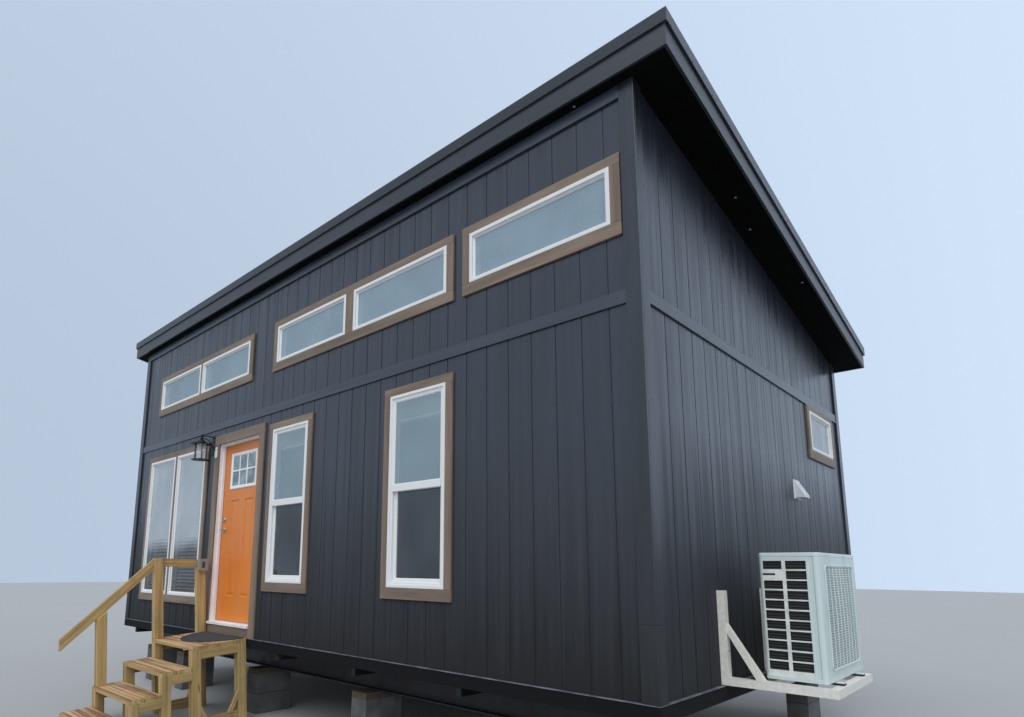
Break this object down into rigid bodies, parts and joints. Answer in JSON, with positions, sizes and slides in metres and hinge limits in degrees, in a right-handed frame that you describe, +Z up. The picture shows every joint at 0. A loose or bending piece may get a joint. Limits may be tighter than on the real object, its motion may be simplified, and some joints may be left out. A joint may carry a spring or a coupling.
{
  "type": "tiny house",
  "caption": "Dark panel-sided tiny house with a single-slope roof, white windows, an orange inward door, a pine entry stair and a wall-hung condenser.",
  "frame": {"origin": "middle of the whole footprint, on the ground", "axes": "+Z up, +X towards the wall with the condenser, -Y out of the door wall"},
  "size_m": [8.907, 6.2224, 4.9003],
  "materials": {
    "siding": "matte",
    "fascia": "matte",
    "edge_metal": "satin",
    "soffit": "matte",
    "roofing": "matte",
    "flashing": "satin",
    "casing": "matte",
    "window_white": "satin",
    "jamb_white": "satin",
    "door_orange": "satin",
    "nickel": "satin",
    "lantern_black": "satin",
    "vent_white": "matte",
    "bracket_white": "satin",
    "cabinet": "satin",
    "coil": "satin",
    "pine": "matte",
    "timber": "matte",
    "mat": "matte",
    "outlet_grey": "matte",
    "steel": "matte",
    "concrete": "matte",
    "glass": "gloss"
  },
  "bodies": {
    "house": {"main_rails": "steel", "cross_members": "steel", "block_piers": "concrete", "pier_caps": "timber", "floor_rim": "timber", "floor_joists": "timber", "floor_deck": "timber", "front_wall_left": "siding", "front_wall_right": "siding", "front_wall_over": "siding", "right_wall": "siding", "left_wall": "siding", "rear_wall": "siding", "roof_deck": "timber", "soffit": "soffit", "roof_covering": "roofing", "fascia_boards": "fascia", "rake_boards": "fascia", "edge_apron": "edge_metal", "corner_boards": "siding", "wall_boards": "siding", "bottom_band": "siding", "band_flashing": "flashing", "fixed_frames": "window_white", "fixed_glass": "glass", "hung_frames": "window_white", "hung_sashes": "window_white", "hung_glass": "glass", "window_blinds": "window_white", "window_casings": "casing", "door_casing": "casing", "door_frame": "jamb_white", "door_sill": "jamb_white", "sill_board": "casing", "hinge_jamb_leaves": "nickel", "lantern": "lantern_black", "lantern_glass": "glass", "wall_plate": "window_white", "vent_hood": "vent_white", "condenser_bracket": "bracket_white", "condenser_cabinet": "cabinet", "condenser_fan_guard": "cabinet", "condenser_coil": "coil", "condenser_feet": "bracket_white", "stair_planks": "pine", "stair_legs": "pine", "stair_aprons": "pine", "stair_braces": "pine", "handrail_posts": "pine", "handrails": "pine", "door_mat": "mat", "outlet_box": "outlet_grey"},
    "door": {"door_slab": "door_orange", "door_lite_frame": "jamb_white", "door_glass": "glass", "door_lock": "nickel", "hinge_door_leaves": "nickel"},
    "lever": {"door_lever": "nickel"}
  },
  "joints": [
    {"name": "door_hinge", "type": "hinge", "parent": "house", "child": "door", "pos_m": [-0.701, -1.51476, 1.943], "axis": [0, 0, -1], "range_deg": [0, 95]},
    {"name": "lever_turn", "type": "hinge", "parent": "door", "child": "lever", "pos_m": [-1.5435, -1.54476, 1.953], "axis": [0, 1, 0], "range_deg": [0, 45], "stiffness_Nm_per_rad": 1}
  ]
}
